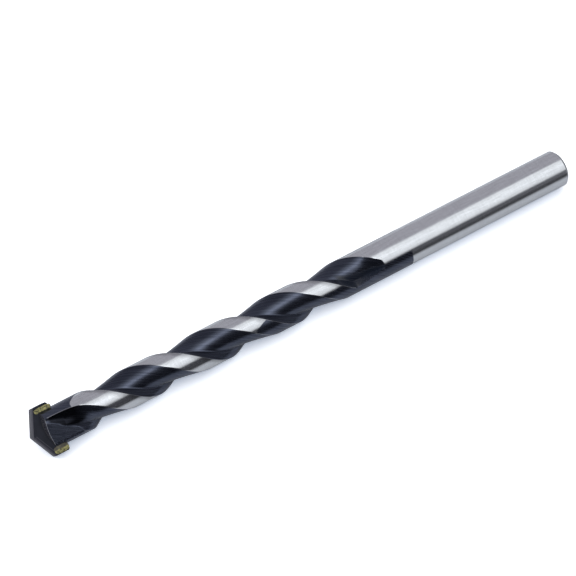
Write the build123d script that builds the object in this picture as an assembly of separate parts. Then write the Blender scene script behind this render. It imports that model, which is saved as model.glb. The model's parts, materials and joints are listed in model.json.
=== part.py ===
# Masonry drill bit lying on its side: a fluted steel body, a carbide plate and the braze between.
# The bit is built along X with the point of the plate at x = 0 and the plate's broad face up,
# then rolled to the angle at which it rests, centred over the origin and set down on z = 0.
from build123d import *
from math import asin, atan2, cos, degrees, exp, log, radians, sin, sqrt, tan
import os

# Overall sizes, in millimetres
overall_length = 120.0
body_diameter = 7.5
nose_diameter = 7.4
shank_margin = 0.6
shank_chamfer = 0.8

# Carbide plate
cut_diameter = 10.3
point_angle = 130.0
plate_thickness = 2.8
plate_height = 5.2
roof_relief = 4.0
side_relief = 0.15
heel_chamfer = 0.25

# Front end of the steel, measured back from the point
nose_setback = 2.15
nose_angle = 153.0

# Braze: the seam in the slot, and beads where the ends of the plate leave it
braze_gap = 0.1
bead_centre = 4.0
bead_length = 4.2
bead_radius = 1.36
bead_inset = 0.35
bead_sink = 0.9
bead_steps = 5

# Gash flats in front of the two cutting edges, turned away from the plate's broad faces
gash_distance = 2.53
gash_turn = 16.8
gash_length = 6.0
gash_skew = 26.0

# Flutes: right hand, with angles counted about the axis from the plate's broad face
flute_count = 2
flute_lead_length = 31.2
flute_width = 124.5
flute_phase = -25.1
flute_depth = 1.3
flute_end = 75.6

# Across a flute: a steep wall, a floor and a long ramp, as shares of its width
wall_share = 0.22
wall_power = 1.4
ramp_share = 0.64
ramp_power = 1.35

# Run-in: beside the plate the flute is narrower, straight and a little shallower
head_edge = -31.9
head_edge_softness = 16.0
head_lag = 17.0
head_lag_end = 14.0
head_lag_length = 4.0
head_ramp_power = 5.0
head_ramp_end = 13.0
head_ramp_length = 6.0
run_in_end = 6.5
run_in_slope = 0.26

# Run-out: the wall side turns straight and the floor rises out of the surface
run_out_length = 4.1
run_out_overrun = 0.6
straight_wall_start = 69.2
straight_wall_turn = -13.1
straight_wall_softness = 4.0

# How closely the flute is laid out along and across
section_step = 2.5
profile_points = 7
profile_overrun = 0.07
cutter_margin = 1.0

# Values that follow from the sizes above
body_radius = body_diameter / 2
nose_radius = nose_diameter / 2
half_thickness = plate_thickness / 2
half_width = sqrt((cut_diameter / 2) ** 2 - half_thickness**2)
trailing_width = half_width - side_relief
roof_slope = 1 / tan(radians(point_angle / 2))
twist_rate = 360 / flute_lead_length
floor_radius = body_radius - flute_depth

# At rest the round body and the lower trailing corner of the plate both touch the ground
trailing_reach = sqrt(trailing_width**2 + half_thickness**2)
rest_roll = degrees(asin(body_radius / trailing_reach) - atan2(half_thickness, trailing_width))


def smooth_step(value):
    """From 0 to 1 with level ends."""
    share = min(max(value, 0.0), 1.0)
    return share * share * (3 - 2 * share)


def soft_larger(first, second, softness):
    """The larger of two values, rounded where they cross."""
    gap = (first - second) / softness
    return second + softness * (log(1 + exp(gap)) if gap < 30 else gap)


def around(x, radius, angle):
    """Point at an angle about the axis, counted from the plate's broad face."""
    return Vector(x, -radius * sin(radians(angle)), radius * cos(radians(angle)))


def wall_angle(x):
    """Steep edge of the flute: helical, late in the head and straight in the run-out."""
    lag = head_lag * smooth_step((head_lag_end - x) / head_lag_length)
    helix = flute_phase + twist_rate * x - lag
    straight_start = flute_phase + twist_rate * straight_wall_start
    straight = straight_start + straight_wall_turn * (x - straight_wall_start) / run_out_length
    return -soft_larger(-helix, -straight, straight_wall_softness)


def ramp_angle(x):
    """Shallow edge of the flute: straight in the head and helical behind it."""
    helix = flute_phase + twist_rate * x - flute_width
    return soft_larger(helix, head_edge, head_edge_softness)


def floor_height(x):
    """Distance from the axis to the flute's floor."""
    raised = run_in_slope * max(0.0, run_in_end - x)
    risen = max(0.0, x - flute_end + run_out_length) / run_out_length
    return floor_radius + raised + flute_depth * risen**2


def flute_section(x):
    """Closed section of the cutter: the flute's profile, and an arc outside the body."""
    start, stop = wall_angle(x), ramp_angle(x)
    head = smooth_step((head_ramp_end - x) / head_ramp_length)
    power = ramp_power + (head_ramp_power - ramp_power) * head
    floor = floor_height(x)
    climb = max(body_radius - floor, 0.1 * flute_depth)
    profile = []
    for index in range(profile_points):
        share = (1 + 2 * profile_overrun) * index / (profile_points - 1) - profile_overrun
        wall = max(0.0, 1 - share / wall_share) ** wall_power
        ramp = max(0.0, 1 - (1 - share) / ramp_share) ** power
        profile.append(around(x, floor + climb * (wall + ramp), start + (stop - start) * share))
    outside = body_radius + flute_depth
    corners = [around(x, outside, angle) for angle in (stop, (start + stop) / 2, start)]
    edges = [
        Spline(*profile),
        Line(profile[-1], corners[0]),
        ThreePointArc(*corners),
        Line(corners[-1], profile[0]),
    ]
    return Face(Wire(edges))


def flute_cutter():
    """One flute as a solid, from in front of the steel to where its floor has left the body."""
    first = nose_setback - cutter_margin
    last = flute_end + run_out_overrun
    count = round((last - first) / section_step)
    return loft([flute_section(first + (last - first) * index / count) for index in range(count + 1)])


def steel_blank():
    """Turned blank: a blunt cone of a nose, slightly tapered where it is fluted, and a plain shank."""
    profile = Polyline(
        (nose_setback, 0, 0),
        (nose_setback + nose_radius / tan(radians(nose_angle / 2)), 0, nose_radius),
        (flute_end + shank_margin, 0, body_radius),
        (overall_length - shank_chamfer, 0, body_radius),
        (overall_length, 0, body_radius - shank_chamfer),
        (overall_length, 0, 0),
        close=True,
    )
    return revolve(make_face(profile), Axis.X)


def gash_cutter():
    """The space outside one gash flat, which ends on a slant where the flute takes over."""
    along = (Align.MAX, Align.CENTER, Align.MIN)
    space = Rot(0, 0, gash_skew) * Box(3 * gash_length, 6 * body_radius, body_radius, align=along)
    return Rot(gash_turn, 0, 0) * Pos(nose_setback + gash_length, 0, gash_distance) * space


def plate_slot():
    """Slot across the nose, with room for the seam of braze."""
    length = plate_height + braze_gap - nose_setback + cutter_margin
    along = (Align.MIN, Align.CENTER, Align.CENTER)
    slot = Box(length, 4 * body_radius, plate_thickness + 2 * braze_gap, align=along)
    return Pos(nose_setback - cutter_margin, 0, 0) * slot


def both_sides(cutter):
    """A feature and its copies, spaced evenly about the axis."""
    return [Rot(360 * index / flute_count, 0, 0) * cutter for index in range(flute_count)]


def nose_and_shank():
    """The steel before its slot is cut."""
    return steel_blank() - both_sides(flute_cutter()) - both_sides(gash_cutter())


def carbide_plate():
    """Plate with a relieved roof, so that each half cuts along one of its broad faces."""
    section = Polyline(
        (0, -half_width, half_thickness),
        (0, -trailing_width, -half_thickness),
        (0, half_width, -half_thickness),
        (0, trailing_width, half_thickness),
        close=True,
    )
    plate = extrude(make_face(section), amount=plate_height, dir=(1, 0, 0))
    relief = tan(radians(roof_relief))
    roof_space = (2 * cut_diameter, 2 * cut_diameter, plate_height)
    for side in (1, -1):
        roof = Plane(origin=(0, 0, 0), z_dir=(-1, -side * roof_slope, -side * relief))
        plate -= roof * Box(*roof_space, align=(Align.CENTER, Align.CENTER, Align.MIN))
    heel = plate.edges().filter_by_position(Axis.X, plate_height, plate_height)
    return chamfer(heel.filter_by(lambda edge: abs(edge.center().Y) > body_radius), heel_chamfer)


def braze_bead(side, face):
    """Spindle-shaped bead along one corner where the plate leaves the slot."""
    turns = [180 / bead_steps * step for step in range(bead_steps + 1)]
    outline = [(-bead_length / 2 * cos(radians(t)), 0, bead_radius * sin(radians(t))) for t in turns]
    spindle = revolve(make_face(Polyline(*outline, close=True)), Axis.X)
    across = side * (body_radius - bead_inset)
    return Pos(bead_centre, across, face * (half_thickness - bead_sink)) * spindle


def braze_fill(steel, plate):
    """Seam and beads: what fills the slot round the plate, outside the finished steel."""
    beads = [braze_bead(side, face) for side in (1, -1) for face in (1, -1)]
    return (plate_slot() & steel) + beads - (steel - plate_slot()) - plate


def at_rest(piece):
    return Pos(-overall_length / 2, 0, body_radius) * Rot(rest_roll, 0, 0) * piece


steel = nose_and_shank()
plate = carbide_plate()
nodes = {
    "drill_body": steel - plate_slot(),
    "carbide_tip": plate,
    "braze": braze_fill(steel, plate),
}

os.makedirs("parts", exist_ok=True)
for name, piece in nodes.items():
    export_step(at_rest(piece), f"parts/{name}.step")
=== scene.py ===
import bpy
import json
import numpy as np
from math import cos, pi, radians, sin, sqrt, tan
from mathutils import Matrix, Vector

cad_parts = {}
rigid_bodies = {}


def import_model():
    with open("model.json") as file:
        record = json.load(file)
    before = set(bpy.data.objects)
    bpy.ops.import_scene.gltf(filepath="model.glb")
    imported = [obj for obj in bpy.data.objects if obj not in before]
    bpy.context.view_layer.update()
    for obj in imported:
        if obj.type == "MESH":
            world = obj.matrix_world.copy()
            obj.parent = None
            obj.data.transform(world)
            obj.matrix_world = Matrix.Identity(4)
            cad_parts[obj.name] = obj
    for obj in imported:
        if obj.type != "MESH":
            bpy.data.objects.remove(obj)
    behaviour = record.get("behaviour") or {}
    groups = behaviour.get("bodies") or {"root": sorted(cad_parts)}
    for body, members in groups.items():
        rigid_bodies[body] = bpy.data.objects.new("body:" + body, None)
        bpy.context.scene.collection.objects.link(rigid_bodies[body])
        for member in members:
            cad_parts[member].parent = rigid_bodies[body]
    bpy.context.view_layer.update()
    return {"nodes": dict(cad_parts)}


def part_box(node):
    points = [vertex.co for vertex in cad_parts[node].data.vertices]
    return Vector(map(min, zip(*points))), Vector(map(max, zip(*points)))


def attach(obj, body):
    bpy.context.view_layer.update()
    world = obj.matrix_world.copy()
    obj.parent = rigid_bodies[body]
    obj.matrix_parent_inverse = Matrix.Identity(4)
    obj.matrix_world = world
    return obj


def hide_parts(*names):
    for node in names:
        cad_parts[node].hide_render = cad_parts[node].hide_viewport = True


# Masonry drill bit: a fluted steel body with a carbide plate brazed across its nose.
# The frame's +X runs from the point to the shank end, and the bit lies on z = 0.
# In the dictionaries lengths are in millimetres and angles in degrees, unless a note says otherwise.

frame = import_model()
mm = 0.001
print("frame loaded:", sorted(frame["nodes"]))

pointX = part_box("carbide_tip")[0].x          # the point of the plate, where lengths along the bit start
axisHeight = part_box("drill_body")[1].z / 2   # the bit's axis lies at y = 0 and at this height


# Shader maths: a socket that adds nodes when it is used in an expression

class Sock:
    def __init__(self, tree, socket):
        self.tree = tree
        self.socket = socket

    # a node of any kind: its settings first, then its inputs, by name or by number as i0, i1 and so on
    def node(self, kind, settings=None, output=0, **inputs):
        made = self.tree.nodes.new(kind)
        for name, value in (settings or {}).items():
            setattr(made, name, value)
        for key, value in inputs.items():
            place = int(key[1:]) if key[1:].isdigit() else key.replace("_", " ")
            plug(value, made.inputs[place])
        return Sock(self.tree, made.outputs[output])

    def math(self, operation, *values, clamp=False):
        given = {f"i{k}": v for k, v in enumerate((self,) + values)}
        return self.node("ShaderNodeMath", {"operation": operation, "use_clamp": clamp}, **given)

    def __add__(self, other):
        return self.math("ADD", other)

    def __sub__(self, other):
        return self.math("SUBTRACT", other)

    def __rsub__(self, other):
        return self * -1 + other

    def __mul__(self, other):
        return self.math("MULTIPLY", other)

    def __neg__(self):
        return self * -1

    __radd__, __rmul__ = __add__, __mul__

    def clamped(self):
        return self.math("ADD", 0.0, clamp=True)

    def most(self, other):
        return self.math("MAXIMUM", other)

    # 0 at start, 1 at end and smooth between, in either direction
    def step(self, start, end):
        return self.node("ShaderNodeMapRange", {"interpolation_type": "SMOOTHSTEP"},
                         Value=self, From_Min=start, From_Max=end)

    # x, y or z of this vector
    def part(self, index):
        return self.node("ShaderNodeSeparateXYZ", output=index, i0=self)

    # noise read at this vector, with its own scale and stretch
    def noise(self, scale, detail=3.0, rough=0.5, stretch=(1, 1, 1)):
        place = self.node("ShaderNodeMapping", Vector=self, Scale=stretch)
        return place.node("ShaderNodeTexNoise", Vector=place, Scale=scale, Detail=detail, Roughness=rough)

    def objectPlace(self):
        return self.node("ShaderNodeTexCoord", output=3)

    # a number kept on the piece's points
    def stored(self, name):
        return self.node("ShaderNodeAttribute", {"attribute_name": name}, output=2)


# link a socket to an input, or set the input to a plain value
def plug(value, target):
    if isinstance(value, Sock):
        value.tree.links.new(value.socket, target)
    elif target.type == "RGBA":
        target.default_value = (*value, 1.0)
    else:
        target.default_value = value


# colour a mixed towards colour b by a factor
def blendColour(factor, a, b):
    return factor.node("ShaderNodeMix", {"data_type": "RGBA"}, output=2, i0=factor, i6=a, i7=b)


# a new material, the inputs of its shader, and a starting socket to build from
def newMaterial(name):
    material = bpy.data.materials.new(name)
    material.use_nodes = True
    tree = material.node_tree
    return material, tree.nodes["Principled BSDF"].inputs, Sock(tree, None)


def bumpInto(inputs, height, strength, distance):
    plug(height.node("ShaderNodeBump", Height=height, Strength=strength, Distance=distance), inputs["Normal"])


def dress(piece, material):
    piece.data.materials.clear()
    piece.data.materials.append(material)


# Mesh helpers

def intoScene(piece):
    bpy.context.scene.collection.objects.link(piece)
    return piece


# a mesh object from an array of points and a list of faces
def meshPiece(name, points, faces, smooth=True):
    mesh = bpy.data.meshes.new(name)
    mesh.from_pydata(np.asarray(points, float).tolist(), [], faces)
    mesh.validate()
    mesh.update()
    mesh.polygons.foreach_set("use_smooth", np.full(len(mesh.polygons), smooth))
    return intoScene(bpy.data.objects.new(name, mesh))


# faces of a closed skin over a grid of points: quads between neighbouring rows, joined round, and a fan
# from the first and from the last row to its pole, the two points that follow the grid
def skinFaces(rows, columns):
    across = np.arange(columns)
    nextAcross = (across + 1) % columns
    down = np.arange(rows - 1)[:, None] * columns
    below = down + columns
    quads = np.stack([down + across, down + nextAcross, below + nextAcross, below + across], -1)
    pole, last = rows * columns, (rows - 1) * columns
    firstFan = np.stack([0 * across + pole, nextAcross, across], -1)
    lastFan = np.stack([0 * across + pole + 1, last + across, last + nextAcross], -1)
    return quads.reshape(-1, 4).tolist() + firstFan.tolist() + lastFan.tolist()


# keep a number for each point of a piece, given on its grid and at its two poles
def storeOnPoints(piece, name, grid, poles):
    values = np.append(grid.ravel(), poles).astype(np.float32)
    piece.data.attributes.new(name, "FLOAT", "POINT").data.foreach_set("value", values)


# 0 at start, 1 at end and smooth between, in either direction
def smoothStep(value, start, end):
    share = np.clip((value - start) / (end - start), 0, 1)
    return share * share * (3 - 2 * share)


# the larger of two values, rounded where they cross
def softLarger(first, second, softness):
    return second + softness * np.logaddexp(0, (first - second) / softness)


# the bit's own distance from the point, radius, and angle from the plate's broad face, in the frame
def placed(x, radius, angle, roll):
    turned = np.radians(angle + roll)
    return np.stack([pointX + x * mm, -radius * mm * np.sin(turned),
                     axisHeight + radius * mm * np.cos(turned)], -1)


# Steel body

steel = dict(
    # the turned blank, and how far the bit is rolled as it lies
    bodyRadius=3.75, noseRadius=3.70, noseSetback=2.15, noseAngle=153.0,
    shankStart=76.2, shankEnd=120.0, chamfer=0.6, roll=32.27,
    # gash flats beside the plate
    gashDistance=2.53, gashTurn=16.8, gashLength=6.0, gashSkew=26.0, gashRunOut=1.5, gashRounding=0.03,
    gashWidest=74.5,
    # flutes, with shares of their width counted from the steep edge
    lead=31.2, fluteWidth=124.5, flutePhase=-25.1, fluteDepth=1.42, fluteEnd=75.95, leastClimb=0.1,
    wallShare=0.20, wallPower=1.05, rampShare=0.80, rampPower=1.38,
    # their run-in beside the plate
    headEdge=-31.9, headEdgeSoftness=16.0, headLag=17.0, headLagFades=(14.0, 10.0),
    headRampPower=5.0, headRampFades=(13.0, 7.0), runInEnd=6.5, runInSlope=0.26,
    # their run-out at the shank
    runOutLength=4.1, straightWallStart=69.2, straightWallSlope=-3.2, straightWallSoftness=4.0,
    wallShareEnd=0.07, wallNarrows=(66.0, 72.0),
    # the grid: stretches of rows as from, to and step, then even rows along the shank
    rowStretches=[(2.6, 12.95, 0.1), (13.0, 68.9, 0.26), (69.0, 77.35, 0.12), (77.4, 84.0, 0.3)],
    shankRows=26, shankRowsEnd=0.1, noseRings=12, rimRounds=15, rimReach=4.0,
    fluteColumns=52, landColumns=32, sharpAngle=32,
    # the bare ground part: where it starts behind the head, sweeping back at one side
    groundTurn=1.1, groundStart=8.45, groundSweep=0.011, groundSweepFrom=142, groundSweepPower=1.5,
    groundSweepMost=4.5,
    # the strip along each flute's end that stayed black: its front, its end, and its two sides as turns
    tailFront=46.9, tailSlant=0.15, tailSlantTo=21, tailEnd=82.2, tailSides=(5, 102), tailNarrows=16,
    tailNarrowsOver=(50.0, 56.0),
    # painted highlight lines: where they run, the widths they are measured across, and the one at the foot of
    # the wall
    highlightsFrom=3.4, highlightsTo=69.0, fluteSpan=8.1, landSpan=3.6, footGap=0.04, footReach=0.8,
    headEnd=14.0, headDepth=0.2, rimHighlightTo=6.0, rimDepth=0.05, coneStretch=1.1,
    rimMargin=0.01, far=9.0,
    # painted shade in the hollow beside the head, painted shade on the wall at the flute's end, which is made
    # plain dark and dull, and where the land stays even
    hollowShadeFront=(3.2, 4.0), hollowShadeBack=(11.8, 8.3), hollowShadeSide=(0.9, 0.75), hollowShadeClear=0.012,
    bladeShadeFront=(65.5, 67.0), bladeShadeSide=(0.58, 0.70), bladeShadeDepth=0.001, landEnd=75.0,
)


# steep edge of a flute: helical, late in the head and straight in the run-out
def wallAngle(x):
    s = steel
    x = np.minimum(x, s["shankStart"])
    twist = 360 / s["lead"]
    helix = s["flutePhase"] + twist * x - s["headLag"] * smoothStep(x, *s["headLagFades"])
    straight = (s["flutePhase"] + twist * s["straightWallStart"]
                + s["straightWallSlope"] * (x - s["straightWallStart"]))
    return -softLarger(-helix, -straight, s["straightWallSoftness"])


# shallow edge of a flute: straight in the head and helical behind it
def rampAngle(x):
    s = steel
    x = np.minimum(x, s["shankStart"])
    helix = s["flutePhase"] + 360 / s["lead"] * x - s["fluteWidth"]
    return softLarger(helix, s["headEdge"], s["headEdgeSoftness"])


# distance from the axis to the flute's floor: level, higher beside the plate, and rising with the square
# of the distance into the run-out
def floorHeight(x):
    s = steel
    raised = s["runInSlope"] * np.maximum(0, s["runInEnd"] - x)
    risen = np.maximum(0, x - s["fluteEnd"] + s["runOutLength"]) / s["runOutLength"]
    return s["bodyRadius"] - s["fluteDepth"] + raised + s["fluteDepth"] * risen ** 2


# radius of the turned blank: a slight taper, then the plain shank
def blankRadius(x):
    s = steel
    return np.interp(x, [0, s["shankStart"]], [s["noseRadius"], s["bodyRadius"]])


# radius of the flute at a share of its width: the floor, plus a climb times a wall that falls from 1 at the
# steep edge and a ramp that rises to 1 at the shallow edge, each a power of the share left of it
def fluteRadius(x, share):
    s = steel
    floor = floorHeight(x)
    climb = np.maximum(s["bodyRadius"] - floor, s["leastClimb"] * s["fluteDepth"])
    power = s["rampPower"] + (s["headRampPower"] - s["rampPower"]) * smoothStep(x, *s["headRampFades"])
    wallShare = s["wallShare"] + (s["wallShareEnd"] - s["wallShare"]) * smoothStep(x, *s["wallNarrows"])
    wall = np.maximum(0, 1 - share / wallShare) ** s["wallPower"]
    ramp = np.maximum(0, 1 - (1 - share) / s["rampShare"]) ** power
    return floor + climb * (wall + ramp)


# turn from the nearer gash flat's own direction, in radians
def gashTurnAt(angle):
    return np.radians(np.mod(angle - steel["gashTurn"] + 90, 180) - 90)


# radius of the gash flat: its distance over the cosine of the turn, and past its slanted end a steady rise.
# At its widest turn it is far outside the steel
def gashRadius(x, turn):
    s = steel
    turn = np.clip(turn, -radians(s["gashWidest"]), radians(s["gashWidest"]))
    across = s["gashDistance"] * np.tan(turn)
    end = s["noseSetback"] + s["gashLength"] + across * tan(radians(s["gashSkew"]))
    return s["gashDistance"] / np.cos(turn) + np.maximum(0, x - end) * s["gashRunOut"]


# the columns round the bit: a flute, a land, and both again half a turn on. For each, whether it is in a
# flute, its share of the way over it, and the turn of its side
def columnPlaces():
    s = steel
    across = np.arange(s["fluteColumns"]) / s["fluteColumns"]
    over = np.arange(s["landColumns"]) / s["landColumns"]
    isFlute = np.repeat([True, False, True, False], [len(across), len(over)] * 2)
    side = np.repeat([0.0, 180.0], len(across) + len(over))
    return isFlute, np.tile(np.concatenate([across, over]), 2), side


# angle of each column at x: its share of the way from edge to edge of its flute or its land
def columnAngle(x, isFlute, share, side):
    wall, ramp = wallAngle(x), rampAngle(x)
    flute = ramp + (wall - ramp) * share
    land = wall + (ramp + 180 - wall) * share
    return np.where(isFlute, flute, land) + side


# radius of the steel: the smallest of the blank, the flute and the gash flat, rounded at the gash
def sideRadius(x, angle, isFlute, share):
    blank = blankRadius(x)
    outer = np.where(isFlute, np.minimum(fluteRadius(x, 1 - share), blank), blank)
    gash = gashRadius(x, gashTurnAt(angle))
    rounded = -softLarger(-outer, -gash, steel["gashRounding"])
    return np.minimum(rounded, outer)


# the nose cone's rise along the bit for each millimetre out from the axis
def noseSlope():
    return 1 / tan(radians(steel["noseAngle"] / 2))


# where the side of each column meets the nose cone: the setback, plus the slope times the side's radius
# there, which a few rounds settle
def noseRim(columns):
    s = steel
    rim = s["noseSetback"] + noseSlope() * s["noseRadius"] + 0 * columns[1]
    for _ in range(s["rimRounds"]):
        rim = s["noseSetback"] + noseSlope() * sideRadius(rim, columnAngle(rim, *columns), *columns[:2])
    return rim


# rings that close the shank, each by its distance from the end and in from the full radius: a chamfer with
# slightly rounded corners, then the flat end
def endRings():
    s = steel
    c = s["chamfer"]
    fromEnd = np.array([c + 0.02, c - 0.07, 0.08, 0.02, 0, 0, 0, 0])
    inward = np.array([0.005, 0.07, c - 0.08, c - 0.01, c + 0.08, 1.6, 2.4, 3.2])
    return s["shankEnd"] - fromEnd[:, None], s["bodyRadius"] - inward[:, None]


# the whole skin as one grid: rings of the nose cone, rows along the side, rings of the shank end. The first
# rows follow the rim of the nose and straighten behind it
def bodyGrid():
    s = steel
    columns = columnPlaces()
    rim = noseRim(columns)
    shankFrom, shankTo = s["rowStretches"][-1][1], s["shankEnd"] - s["chamfer"] - s["shankRowsEnd"]
    rows = np.concatenate([np.arange(*stretch) for stretch in s["rowStretches"]]
                          + [np.linspace(shankFrom, shankTo, s["shankRows"])])
    follow = np.clip(1 - (rows - rows[0]) / s["rimReach"], 0, 1)[:, None]
    x = rows[:, None] + (rim - rows[0]) * follow
    angle = columnAngle(x, *columns)
    radius = sideRadius(x, angle, *columns[:2])
    ring = np.linspace(0, 1, s["noseRings"] + 2)[1:-1, None]
    noseX = s["noseSetback"] + noseSlope() * ring * radius[:1]
    endX, endRadius = endRings()
    x = np.concatenate([noseX, x, endX + 0 * rim])
    angle = np.concatenate([angle[:1] + 0 * noseX, angle, angle[-1:] + 0 * endX])
    radius = np.concatenate([ring * radius[:1], radius, endRadius + 0 * rim])
    return x, angle, radius, rim


# how far a place on the full diameter is inside the bare ground part, in millimetres, and negative where it
# stayed black: at the head, and in the strip along each flute's end
def bareDistance(x, angle):
    s = steel
    beside = np.mod(angle - s["groundTurn"], 180)
    sweep = s["groundSweep"] * np.maximum(0, s["groundSweepFrom"] - beside) ** s["groundSweepPower"]
    fromHead = x - s["groundStart"] - np.minimum(sweep, s["groundSweepMost"])
    start, stop = s["tailSides"]
    start = start + s["tailNarrows"] * smoothStep(x, *s["tailNarrowsOver"])
    around = np.maximum(start - beside, beside - stop) * radians(1) * s["bodyRadius"]
    front = s["tailFront"] + s["tailSlant"] * np.maximum(0, s["tailSlantTo"] - beside)
    return np.minimum(fromHead, np.maximum(around, np.maximum(x - s["tailEnd"], front - x)))


# distance from the nearest painted highlight line, in millimetres: the edges of the flutes, the foot of their
# wall, and the rim of what is cut into the nose
def highlightLineDistance(x, depth, rim):
    s = steel
    isFlute, share, _ = columnPlaces()
    edge = np.minimum(share, 1 - share) * np.where(isFlute, s["fluteSpan"], s["landSpan"]) + 0 * x
    foot = s["footGap"] + s["footReach"] * np.abs(1 - share - s["wallShare"]) * s["fluteSpan"]
    edge = np.where(isFlute & (x > s["headEnd"]), np.minimum(edge, foot), edge)
    inHead = (x < s["headEnd"]) & (depth > s["headDepth"])
    edge = np.where((x < s["highlightsTo"]) & (x > s["highlightsFrom"]) & ~inHead, edge, s["far"])
    fromRim = np.where(x > rim, x - rim, s["coneStretch"] * (rim - x) / noseSlope())
    cut = (depth > s["rimDepth"]) & (x < s["rimHighlightTo"])
    return np.where(cut, np.minimum(edge, fromRim), edge)


# what the material needs to know about each point, on the grid and at the two poles. Lengths are in
# millimetres, and the marks for painted shade in the hollow beside the head, painted light on the nose cone
# and painted shade on the wall at the flute's end are shares from 0 to 1
def bodyMarks(x, angle, radius, rim):
    s = steel
    isFlute, share, _ = columnPlaces()
    depth = np.where(x < s["shankStart"], blankRadius(x) - radius, 0)
    # painted shade: the hollow of each flute beside the head, where the gash flat doesn't cut
    inFlute = isFlute & (gashRadius(x, gashTurnAt(angle)) > radius + s["hollowShadeClear"])
    hollowShade = (smoothStep(x, *s["hollowShadeFront"]) * smoothStep(x, *s["hollowShadeBack"])
              * smoothStep(share, *s["hollowShadeSide"]) * inFlute)
    # painted shade: the wall at each flute's end, made plain dark
    bladeShade = (smoothStep(x, *s["bladeShadeFront"]) * smoothStep(share, *s["bladeShadeSide"])
             * (isFlute & (depth > s["bladeShadeDepth"])))
    besideWall = np.where(isFlute | (x > s["landEnd"]), s["far"], share * s["landSpan"])
    return dict(
        depth=(depth, [1, 0]), bare=(bareDistance(x, angle), [1, s["far"]]),
        edge=(highlightLineDistance(x, depth, rim), [s["far"], s["far"]]),
        nose=((x <= rim + s["rimMargin"]) * 1.0, [1, 0]), hollowShade=(hollowShade, [0, 0]), bladeShade=(bladeShade, [0, 0]),
        besideWall=(besideWall, [s["far"], s["far"]]),
    )


def makeBody():
    s = steel
    x, angle, radius, rim = bodyGrid()
    points = placed(x, radius, angle, s["roll"]).reshape(-1, 3)
    poles = placed(np.array([s["noseSetback"], s["shankEnd"]]), np.zeros(2), np.zeros(2), s["roll"])
    piece = meshPiece("steel_body", np.concatenate([points, poles]), skinFaces(*x.shape))
    for name, (grid, atPoles) in bodyMarks(x, angle, radius, rim).items():
        storeOnPoints(piece, name, grid, atPoles)
    # each place with the flutes' twist taken out, so that streaks can follow them
    turn = np.radians(angle - 360 / s["lead"] * x)
    untwisted = np.stack([x, radius * np.cos(turn), radius * np.sin(turn)], -1).reshape(-1, 3)
    untwisted = np.concatenate([untwisted, [[s["noseSetback"], 0, 0], [s["shankEnd"], 0, 0]]])
    store = piece.data.attributes.new("untwisted", "FLOAT_VECTOR", "POINT")
    store.data.foreach_set("vector", untwisted.astype(np.float32).ravel())
    piece.data.set_sharp_from_angle(angle=radians(s["sharpAngle"]))
    return piece


# colours of the steel's finishes, of its painted shade, painted light and painted highlights, how strongly
# some of them cover what is under them, how much of a painted highlight line is lost per millimetre from the
# edge it follows, and each finish's roughness before its grain
steelLook = dict(
    silverDark=(0.54, 0.557, 0.58), silverLight=(0.73, 0.75, 0.775),
    chamfer=(0.10, 0.105, 0.11), besideWall=(0.10, 0.10, 0.11), speck=(0.25, 0.25, 0.26),
    chamferCover=0.75, besideWallCover=0.5, speckCover=0.7, silverRoughness=0.14,
    # last on the next line: painted shade for the hollow beside the head
    blackDark=(0.060, 0.068, 0.096), blackLight=(0.118, 0.132, 0.175), hollowShade=(0.008, 0.008, 0.010),
    # on the next line: painted light for the nose cone, painted shade for the wall at the flute's end, and
    # painted highlights for the edges
    nose=(0.045, 0.046, 0.058), bladeShade=(0.014, 0.019, 0.033), line=(0.45, 0.46, 0.5),
    hollowShadeCover=0.85, highlightFade=11, blackRoughness=0.22,
)


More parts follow.
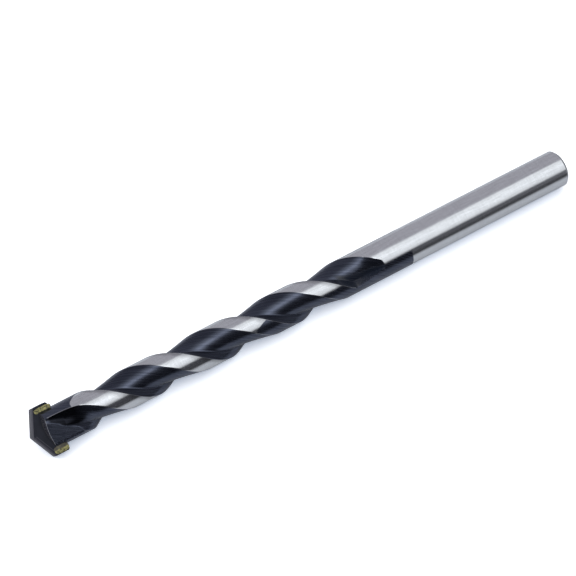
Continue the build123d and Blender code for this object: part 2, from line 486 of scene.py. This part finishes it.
# ground silver where the bit was turned down, and black in the flutes, at the head and beside their ends,
# with painted shade, painted light and painted highlights on the black
def steelMaterial():
    material, inputs, base = newMaterial("groundAndBlackSteel")
    look = steelLook
    depth, bare, edge, besideWall = (base.stored(name) for name in ("depth", "bare", "edge", "besideWall"))
    nose, hollowShade, bladeShade = (base.stored(name) for name in ("nose", "hollowShade", "bladeShade"))
    helix = base.node("ShaderNodeAttribute", {"attribute_name": "untwisted"}, output=1)
    place = base.objectPlace()
    grain = place.noise(scale=6000, detail=4, rough=0.6)
    fine = place.noise(scale=900, rough=0.55)
    rings = place.noise(scale=400, detail=4, rough=0.6, stretch=(9, 0.5, 0.5))
    brushed = place.noise(scale=3500, rough=0.6, stretch=(0.1, 1, 1))
    streaks = helix.noise(scale=1.2, detail=4, rough=0.6, stretch=(0.12, 3, 3))
    # bare steel starts over a sixth of a millimetre with a ragged edge, and only on the full diameter
    ground = ((bare + (fine - 0.5) * 0.35) * 6).clamped() * (1 - (depth * 40 - 0.3).clamped())
    # silver: rings, grain and brushing, darker on the chamfer, beside the flutes' wall and in specks
    mixed = (rings - 0.5) * 0.7 + (grain - 0.5) * 1.2 + (brushed - 0.5) * 1.2 + 0.5
    silver = blendColour(mixed.clamped(), look["silverDark"], look["silverLight"])
    chamferX = pointX + (steel["shankEnd"] - steel["chamfer"]) * mm
    onChamfer = (place.part(0) - chamferX).step(-0.05 * mm, 0.05 * mm)
    silver = blendColour(onChamfer * look["chamferCover"], silver, look["chamfer"])
    atWall = (besideWall + (fine - 0.5) * 0.8).step(1.3, 0.0)
    silver = blendColour(atWall * look["besideWallCover"], silver, look["besideWall"])
    silver = blendColour(grain.step(0.70, 0.76) * look["speckCover"], silver, look["speck"])
    # black: streaks along the flutes, painted shade in the hollow beside the head, painted light on the nose
    # cone, painted shade on the wall at the flute's end, and painted highlight lines on the edges
    black = blendColour(streaks.step(0.3, 0.75), look["blackDark"], look["blackLight"])
    # painted shade: the hollow of each flute beside the head made near black
    black = blendColour(hollowShade * look["hollowShadeCover"], black, look["hollowShade"])
    # painted light: the nose cone is a dull dark grey, lighter than the black steel's reflection of the plate
    # would leave it
    black = blendColour(nose, black, look["nose"])
    # painted shade: the wall at each flute's end made plain dark and dull
    black = blendColour(bladeShade, black, look["bladeShade"])
    # painted highlight: a light line along the edges of flutes and lands, the foot of each flute's wall and
    # the nose rim
    highlight = (1 - edge * look["highlightFade"]).clamped() * (0.6 + fine * 0.8)
    black = blendColour(highlight, black, look["line"])
    plug(blendColour(ground, black, silver), inputs["Base Color"])
    # dull where the nose cone has painted light and the wall at the flute's end has painted shade, so that
    # neither shows a reflection
    plug(1 - nose.most(bladeShade), inputs["Metallic"])
    silverRough = rings * 0.06 + (grain - 0.5) * 0.06 + look["silverRoughness"]
    blackRough = streaks * 0.10 + look["blackRoughness"]
    plug(blackRough + (silverRough - blackRough) * ground, inputs["Roughness"])
    silverHeight = rings * 0.1 + grain * 0.25 + brushed * 0.3
    blackHeight = streaks * 0.25 + fine * 0.25 + grain * 0.2
    bumpInto(inputs, silverHeight * ground + blackHeight * (1 - ground), 0.35, 0.02 * mm)
    return material


steelBody = makeBody()
dress(steelBody, steelMaterial())
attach(steelBody, "root")
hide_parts("drill_body")
print("steel body:", len(steelBody.data.polygons), "faces")


# Carbide plate: the solid's own form with its edges slightly rounded

plate = dict(
    edgeWidth=0.07, edgeSegments=3, edgeAngle=20, pointAngle=130.0,
    # along the bit from the two cutting edges: the roof, the band behind an edge and the line that ends it.
    # The band is only on the two sides that cut, where across times up is under 0
    roofFades=(0.18, 0.12), bandFades=(0.60, 0.50), lineFades=(0.45, 0.53), sideFades=(0, 0.4),
    dark=(0.014, 0.016, 0.026), light=(0.019, 0.021, 0.033), roof=(0.072, 0.071, 0.090),
    band=(0.040, 0.041, 0.055), line=(0.13, 0.13, 0.15),
)


# dull dark carbide, lighter where the roof and the bands behind the cutting edges are ground
def carbideMaterial():
    material, inputs, base = newMaterial("sinteredCarbide")
    place = base.objectPlace()
    grain = place.noise(scale=5000, detail=4, rough=0.6)
    marks = place.noise(scale=700)
    colour = blendColour(marks.step(0.3, 0.7), plate["dark"], plate["light"])
    x, y, z = ((place.part(k) - start) * (1 / mm) for k, start in enumerate((pointX, 0, axisHeight)))
    roll = radians(steel["roll"])
    across = y * cos(roll) + z * sin(roll)
    up = z * cos(roll) - y * sin(roll)
    behindEdge = x - across.math("ABSOLUTE") * (1 / tan(radians(plate["pointAngle"] / 2)))
    cuttingSide = (-(across * up)).step(*plate["sideFades"])
    band = behindEdge.step(*plate["bandFades"]) * cuttingSide
    line = behindEdge.step(*plate["lineFades"]) * band
    colour = blendColour(band * 0.6, colour, plate["band"])
    colour = blendColour(line * 0.8, colour, plate["line"])
    colour = blendColour(behindEdge.step(*plate["roofFades"]), colour, plate["roof"])
    plug(colour, inputs["Base Color"])
    plug(0.15, inputs["Specular IOR Level"])
    plug(0.32 + grain * 0.15, inputs["Roughness"])
    bumpInto(inputs, grain * 0.6 + marks, 0.4, 0.03 * mm)
    return material


def makePlate():
    source = frame["nodes"]["carbide_tip"].data
    piece = intoScene(bpy.data.objects.new("cutting_plate", source.copy()))
    weld = piece.modifiers.new("weld", "WELD")
    weld.merge_threshold = 0.001 * mm
    bevel = piece.modifiers.new("edges", "BEVEL")
    bevel.width = plate["edgeWidth"] * mm
    bevel.segments = plate["edgeSegments"]
    bevel.limit_method = "ANGLE"
    bevel.angle_limit = radians(plate["edgeAngle"])
    piece.data.shade_smooth()
    return piece


cuttingPlate = makePlate()
dress(cuttingPlate, carbideMaterial())
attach(cuttingPlate, "root")
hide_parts("carbide_tip")
print("cutting plate ready")


# Braze: a thin seam between each broad face of the plate and the steel, and a flat lumpy pad over each of
# the four corners where the plate leaves the steel

braze = dict(
    halfThickness=1.4,
    # seams: their thickness, how far back they reach, and how far they stand out of the steel
    gap=0.1, heel=5.3, proud=0.015, seamRows=40,
    # pads: how far they rise off the plate's face and go into the steel, and their lumps and grid
    raised=0.22, sunk=0.55, squareness=0.7, endTaper=0.4, dullBlend=0.12,
    lump=0.12, lumpScale=5.5, lumpContrast=0.9, lumpWaves=6, padRows=44, padColumns=60, padEndGap=0.02,
    dark=(0.13, 0.12, 0.07), light=(0.48, 0.455, 0.20), speck=(0.08, 0.07, 0.06), dull=(0.12, 0.112, 0.095),
    seamDark=(0.030, 0.030, 0.034), seamLight=(0.055, 0.053, 0.048),
)
# the pads' ends along the bit, how far out from the axis they start and stop, and the share that is dull
pads = dict(
    trailing=dict(side=1, front=2.2, back=5.6, inner=3.4, outer=4.43, dull=0.1),
    leading=dict(side=-1, front=2.35, back=5.25, inner=3.35, outer=4.86, dull=0.45),
)


def brazeMaterial():
    material, inputs, base = newMaterial("lumpyBraze")
    place = base.objectPlace()
    lumps = place.noise(scale=2600, detail=4, rough=0.6)
    fine = place.noise(scale=6000)
    colour = blendColour(lumps.step(0.38, 0.60), braze["dark"], braze["light"])
    colour = blendColour(fine.step(0.60, 0.70) * 0.4, colour, braze["speck"])
    colour = blendColour(base.stored("dull") * 0.9, colour, braze["dull"])
    plug(colour, inputs["Base Color"])
    plug(0.7, inputs["Metallic"])
    plug(0.42 + fine * 0.2, inputs["Roughness"])
    bumpInto(inputs, lumps + fine * 0.3, 0.8, 0.1 * mm)
    return material


def seamMaterial():
    material, inputs, base = newMaterial("darkSeam")
    patches = base.objectPlace().noise(scale=900)
    plug(blendColour(patches.step(0.4, 0.6), braze["seamDark"], braze["seamLight"]), inputs["Base Color"])
    plug(0.5, inputs["Roughness"])
    return material


# a closed tube through sections, each a row of points given as distance from the point, width and height
# from the axis in the plate's own directions
def tubePiece(name, x, width, height, smooth=True):
    angle = np.degrees(np.arctan2(-width, height))
    sections = placed(x, np.hypot(width, height), angle, steel["roll"])
    points = np.concatenate([sections.reshape(-1, 3), sections[[0, -1]].mean(1)])
    return meshPiece(name, points, skinFaces(*x.shape), smooth)


# smooth lumps about 0: the mean of a few sine waves in random directions
def lumpField(points, seed):
    b = braze
    starts = np.random.default_rng(seed).uniform(0, 2 * pi, (b["lumpWaves"], 3))[:, 0]
    waves = np.random.default_rng(seed + 1).normal(0, 1, (b["lumpWaves"], 3)) * b["lumpScale"]
    sines = [np.sin(points @ wave + start) for wave, start in zip(waves, starts)]
    return np.mean(sines, 0) * b["lumpContrast"]


# a sine or cosine made squarer by a power under 1, so that a round section gets a flat top and blunt sides
def squared(value):
    return np.sign(value) * np.abs(value) ** braze["squareness"]


# a pad: sections whose half width and height are a squared cosine and sine of the way round, times a power
# of the sine of the way along
def makePad(name, pad, face, seed):
    b = braze
    along = np.linspace(b["padEndGap"], pi - b["padEndGap"], b["padRows"])[:, None]
    around = np.linspace(0, 2 * pi, b["padColumns"], endpoint=False)[None, :]
    x = (pad["front"] + pad["back"]) / 2 - np.cos(along) * (pad["back"] - pad["front"]) / 2 + 0 * around
    taper = np.sin(along) ** b["endTaper"]
    out, up = squared(np.cos(around)) * taper, squared(np.sin(around)) * taper
    push = b["lump"] * lumpField(np.stack([x, out, up], -1), seed) * taper
    width = (pad["inner"] + pad["outer"]) / 2 + out * (pad["outer"] - pad["inner"]) / 2
    height = b["halfThickness"] + np.where(up > 0, up * b["raised"] + push, up * b["sunk"])
    blend = b["dullBlend"] / 2
    dull = smoothStep((out + 1) / 2, pad["dull"] + blend, pad["dull"] - blend)
    if pad["side"] < 0:
        width, height, dull = width[:, ::-1], height[:, ::-1], dull[:, ::-1]
    piece = tubePiece(name, x, pad["side"] * face * width, face * height)
    storeOnPoints(piece, "dull", dull, [0, 0])
    return piece


# the seam on one broad face: a thin sheet that follows the nose cone in front and the steel's side at both
# ends
def makeSeam(name, face):
    b, s = braze, steel
    low, high = b["halfThickness"], b["halfThickness"] + b["gap"]
    reach = sqrt((s["noseRadius"] + b["proud"]) ** 2 - high ** 2)
    width = np.linspace(-reach, reach, b["seamRows"])[:, None]
    height = np.array([low, high, high, low])[None, :]
    front = s["noseSetback"] + noseSlope() * np.hypot(width, height) - b["proud"]
    x = np.where([True, True, False, False], front, b["heel"])
    if face < 0:
        x, height = x[:, ::-1], height[:, ::-1]
    return tubePiece(name, x, width + 0 * x, face * height + 0 * x, smooth=False)


brazeFinish, seamFinish = brazeMaterial(), seamMaterial()
seam = makeSeam("braze_seam_1", 1)
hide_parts("braze")
brazed = [(seam, seamFinish), (makeSeam("braze_seam_2", -1), seamFinish)]
for number, (kind, face) in enumerate([("trailing", 1), ("leading", 1), ("trailing", -1), ("leading", -1)]):
    brazed.append((makePad(f"braze_pad_{number + 1}", pads[kind], face, 10 + number), brazeFinish))
for piece, finish in brazed:
    dress(piece, finish)
    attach(piece, "root")
print("braze ready")


# Floor

studioFloor = dict(
    size=6000, colour=(0.93, 0.955, 0.985), roughness=0.6, gloss=0.2,
    # darker in front of the bit, by the distance from under the axis: the steel sees it in reflections, the
    # camera sees white
    darkerInFront=(0.04, 0.04, 0.045), darkerInFrontFades=(9.5, 23.5),
    # the glow seen by the camera: how near the bit takes light from it, and the light left in the open
    # squared, in the open and at least
    glowReach=20, glowCurve=0.85, glowShare=0.1, glowLeast=0.28, shadow=(0.0, 0.06, 0.17),
)


# pale floor that the steel sees as it is, and that glows white to the camera where the bit isn't over it
def makeFloor():
    f = studioFloor
    half = f["size"] / 2 * mm
    corners = [(-half, -half, 0), (half, -half, 0), (half, half, 0), (-half, half, 0)]
    piece = meshPiece("floor", corners, [(0, 1, 2, 3)], smooth=False)
    material, inputs, base = newMaterial("paleFloor")
    inFront = -base.objectPlace().part(1)
    darkerInFront = (inFront * (1 / mm)).step(*f["darkerInFrontFades"])
    plug(blendColour(darkerInFront, f["colour"], f["darkerInFront"]), inputs["Base Color"])
    plug(f["roughness"], inputs["Roughness"])
    plug(f["gloss"], inputs["Specular IOR Level"])
    reach = f["glowReach"] * mm
    openness = base.node("ShaderNodeAmbientOcclusion", {"samples": 16}, output=1, Distance=reach)
    lightLeft = openness * openness * f["glowCurve"] + openness * f["glowShare"] + f["glowLeast"]
    glow = blendColour(lightLeft.clamped(), f["shadow"], (1.0, 1.0, 1.0))
    isCameraRay = base.node("ShaderNodeLightPath")
    plug(blendColour(isCameraRay, (0.0, 0.0, 0.0), glow), inputs["Emission Color"])
    plug(1.0, inputs["Emission Strength"])
    dress(piece, material)


# Light: a soft room, and one lamp at the left. Places and sizes of the lamp are in metres

lamp = dict(place=(-0.75, 0.10, 0.60), size=(0.8, 0.8), radiance=2.0)
room = dict(
    # grey walls: in front at the left and right, and behind at the left and right
    frontLeft=(0.065, 0.065, 0.075), frontRight=(0.20, 0.20, 0.22), frontParts=(0.3, 0.55),
    backLeft=(0.19, 0.19, 0.22), backRight=(0.475, 0.465, 0.51), backParts=(-0.02, 0.28),
    overhead=(15, 100), farRight=(0.52, 0.72),
    # the soft box: its colour, its lower edge, which slants up to the left, its upper edge and its right end
    box=(1.17, 1.19, 1.22), boxLow=26, boxLowFades=(-7, 5), boxSlant=75, boxSlantFrom=0.3,
    boxHighFades=(99, 87), boxRightFades=(0.70, 0.54),
    # its power from the lower edge up, and the bright core and dim top of its left part
    power=0.80, powerRises=(24, 62), powerRise=0.26, powerFalls=(62, 93), powerFall=0.12,
    leftPart=(0.28, 0.12), coreRises=(46, 58), coreFalls=(76, 62), core=0.85, topFalls=(66, 90), topFall=0.45,
)


def makeLamp():
    data = bpy.data.lights.new("sideLamp", "AREA")
    data.shape = "RECTANGLE"
    data.size, data.size_y = lamp["size"]
    data.energy = pi * data.size * data.size_y * lamp["radiance"]
    holder = intoScene(bpy.data.objects.new("sideLamp", data))
    holder.location = lamp["place"]
    holder.rotation_euler = (-Vector(lamp["place"])).to_track_quat("-Z", "Y").to_euler()


# the room by direction, where x is 1 to the right and turn is 0 at the horizon in front, 90 overhead and 180
# behind. The camera sees white
def makeWorld():
    r = room
    world = bpy.data.worlds.new("room")
    bpy.context.scene.world = world
    world.use_nodes = True
    base = Sock(world.node_tree, None)
    direction = base.node("ShaderNodeTexCoord")
    x, y, z = (direction.part(k) for k in range(3))
    turn = z.math("ARCTAN2", -y) * (180 / pi)
    behind = blendColour(x.step(*r["backParts"]), r["backLeft"], r["backRight"])
    front = blendColour(x.step(*r["frontParts"]), r["frontLeft"], r["frontRight"])
    grey = blendColour(turn.step(*r["overhead"]), front, behind)
    grey = blendColour(x.step(*r["farRight"]), grey, r["frontRight"])
    low = r["boxLow"] + (r["boxSlantFrom"] - x).most(0.0) * r["boxSlant"]
    inBox = (turn - low).step(*r["boxLowFades"]) * turn.step(*r["boxHighFades"]) * x.step(*r["boxRightFades"])
    rise = turn.step(*r["powerRises"]) * r["powerRise"] - turn.step(*r["powerFalls"]) * r["powerFall"]
    core = turn.step(*r["coreRises"]) * turn.step(*r["coreFalls"]) * r["core"]
    leftRise = (core - turn.step(*r["topFalls"]) * r["topFall"]) * x.step(*r["leftPart"])
    power = rise + leftRise + r["power"]
    # a mix's factor is at most 1, so it gets half the power, and twice the colour
    box = blendColour(power * 0.5, (0.0, 0.0, 0.0), tuple(2 * c for c in r["box"]))
    isCameraRay = base.node("ShaderNodeLightPath")
    seen = blendColour(isCameraRay, blendColour(inBox, grey, box), (1.0, 1.0, 1.0))
    plug(seen, world.node_tree.nodes["Background"].inputs["Color"])


# The photo's camera: the side that it looks from, how far away it is, where it looks and what it clips, in
# metres, and its lens and sensor in millimetres
camera = dict(
    azimuth=-33.06, elevation=51.85, distance=0.4816, look=(-0.001736, 0.003749, 0.00375),
    lens=157.48, sensor=36, clip=(0.01, 50),
)


def makeCamera():
    c = camera
    a, e = radians(c["azimuth"]), radians(c["elevation"])
    back = Vector((sin(a) * cos(e), -cos(a) * cos(e), sin(e)))
    right = Vector((cos(a), sin(a), 0))
    turned = Matrix((right, back.cross(right), back)).transposed().to_4x4()
    turned.translation = Vector(c["look"]) + back * c["distance"]
    data = bpy.data.cameras.new("camera")
    data.lens = c["lens"]
    data.sensor_width = c["sensor"]
    data.clip_start, data.clip_end = c["clip"]
    holder = intoScene(bpy.data.objects.new("camera", data))
    holder.matrix_world = turned
    bpy.context.scene.camera = holder


makeFloor()
makeWorld()
makeLamp()
makeCamera()
bpy.context.scene.view_settings.view_transform = "Standard"
print("stage ready")
